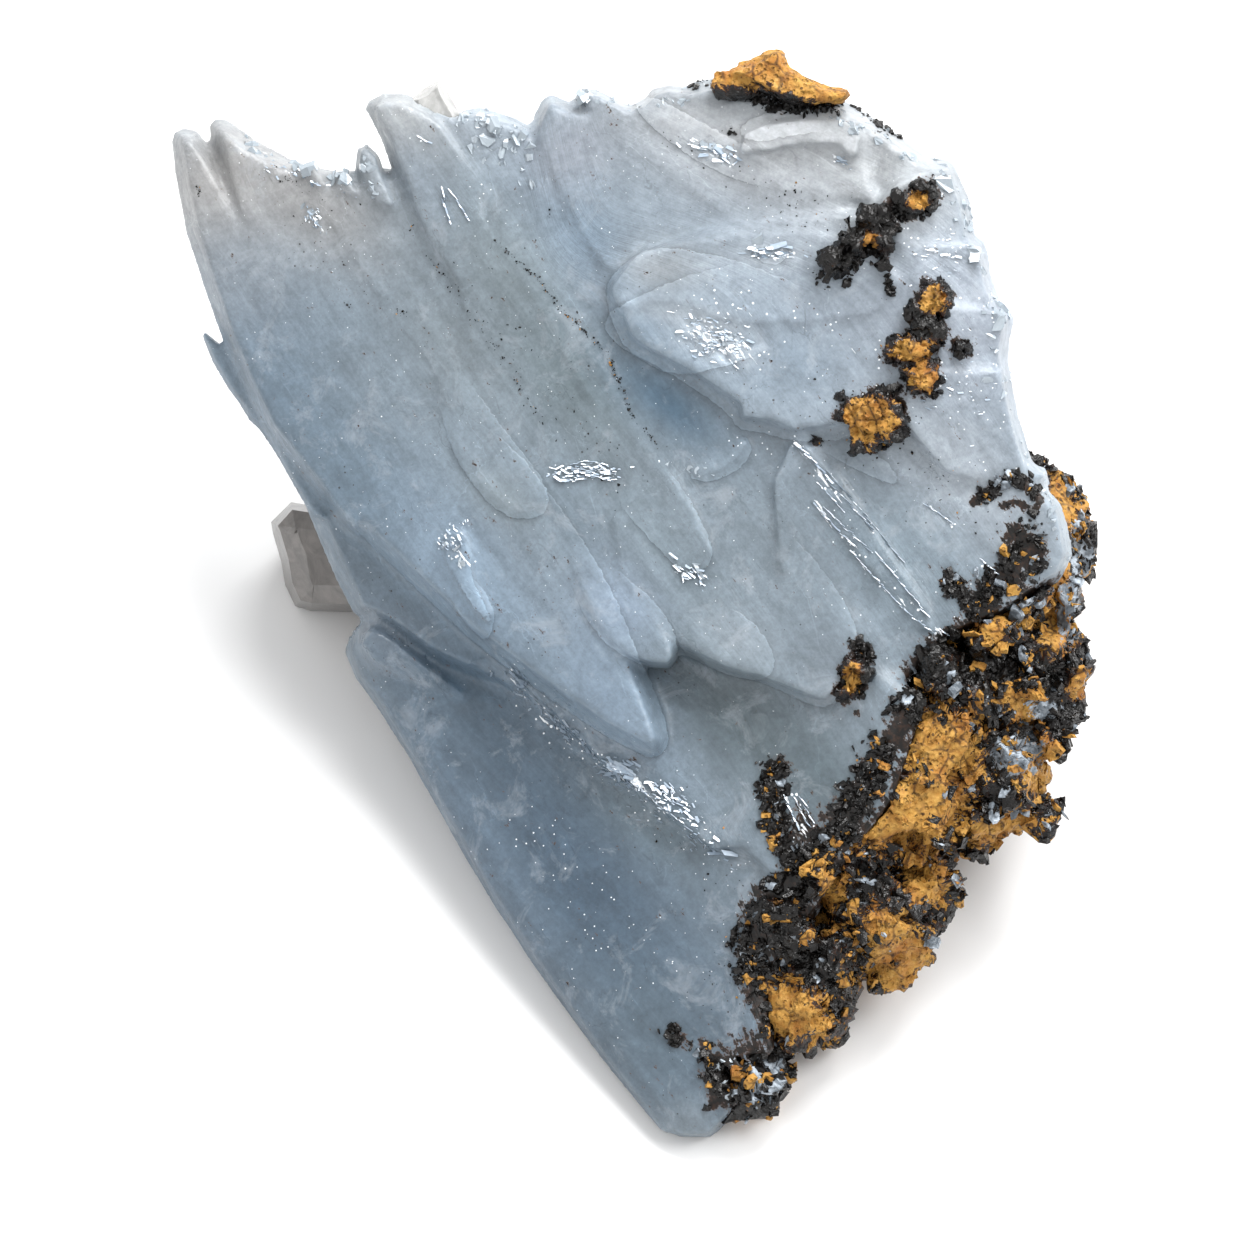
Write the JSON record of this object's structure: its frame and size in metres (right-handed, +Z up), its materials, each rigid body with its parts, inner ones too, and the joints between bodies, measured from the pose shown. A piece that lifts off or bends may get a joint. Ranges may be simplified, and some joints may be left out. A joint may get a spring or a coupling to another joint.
{
  "type": "barite on matrix mineral specimen",
  "caption": "Fan of thick frosted blue-grey barite blades on a crumbly black and ochre iron oxide matrix, resting on its flat underside.",
  "frame": {"origin": "centre of the specimen's box in plan, on the plane that it rests on", "axes": "+Z up from the flat underside, +Y towards the back, where the fan is highest, +X to the right towards the matrix"},
  "size_m": [0.095, 0.0984, 0.0592],
  "materials": {
    "matrix_rock": "crumbly black goethite and earthy ochre limonite",
    "barite": "frosted, etched and slightly milky blue-grey, with glossy cleavage facets",
    "limonite": "earthy orange-ochre crust with a black underside",
    "smoky_crystal": "smoky grey-brown crystal with glossy faces",
    "clear_crystal": "clear greyish crystal with glossy faces",
    "crust": "black and brown crumbs of iron oxide with ochre dust"
  },
  "bodies": {
    "root": {"matrix": "matrix_rock", "barite_fan": "barite", "limonite_cap": "limonite", "smoky_crystal": "smoky_crystal", "clear_crystal": "clear_crystal", "crust_upper": "crust", "crust_middle": "crust", "crust_flower": "crust", "crust_speck": "crust", "crust_low": "crust"}
  },
  "joints": []
}
